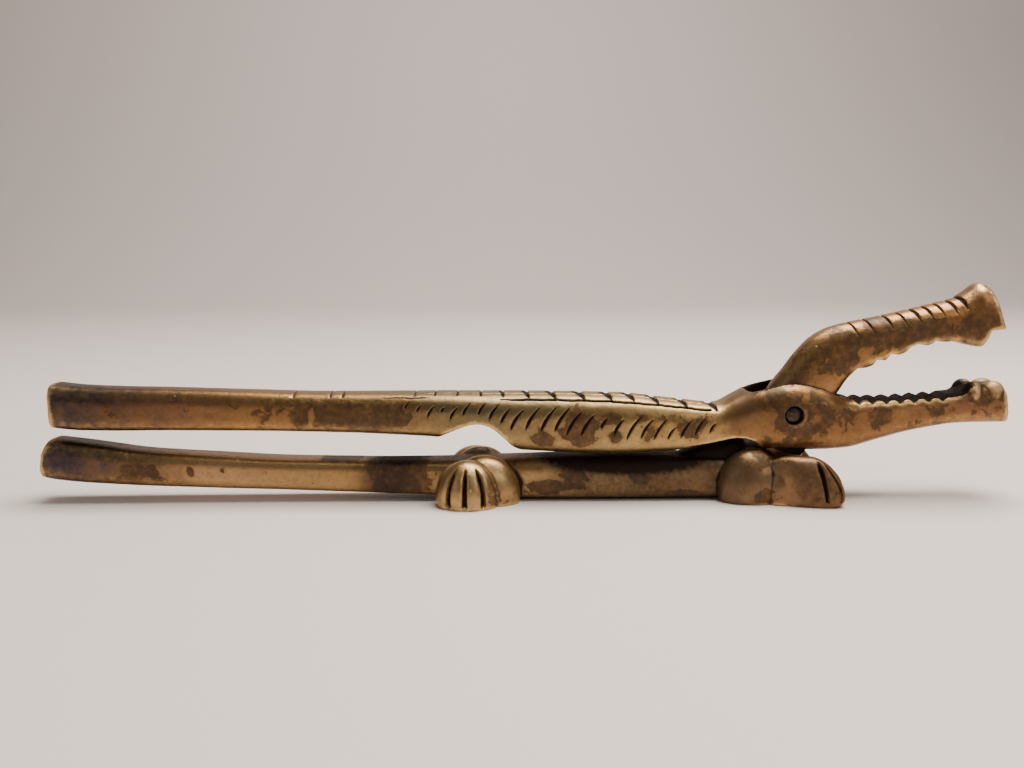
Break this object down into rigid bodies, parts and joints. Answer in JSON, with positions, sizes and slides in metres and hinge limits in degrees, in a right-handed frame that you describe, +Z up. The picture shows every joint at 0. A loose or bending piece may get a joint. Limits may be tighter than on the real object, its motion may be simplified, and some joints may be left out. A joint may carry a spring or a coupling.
{
  "type": "lever nut cracker",
  "caption": "Cast brass lever nut cracker shaped as a crocodile: squeezing the two tail handles together closes the toothed jaws on a nut.",
  "frame": {"origin": "on the table, under the middle of the whole object at rest with the handles together", "axes": "+X along the object towards the snout, +Y to the animal's left, +Z up from the table"},
  "size_m": [0.26, 0.0344, 0.0575],
  "materials": {
    "body_brass": "aged, handled casting with brown patina and bright worn edges",
    "leg_brass": "aged, handled casting with brown patina and bright worn edges",
    "pin_steel": "dark, dull steel"
  },
  "bodies": {
    "leg_lever": {"leg_lever": "leg_brass"},
    "body_lever": {"body_lever": "body_brass", "pivot_pin": "pin_steel"}
  },
  "joints": [
    {"name": "jaw_pivot", "type": "hinge", "parent": "leg_lever", "child": "body_lever", "pos_m": [0.0715, 0, 0.0233], "axis": [0, 1, 0], "range_deg": [0, 32]}
  ]
}
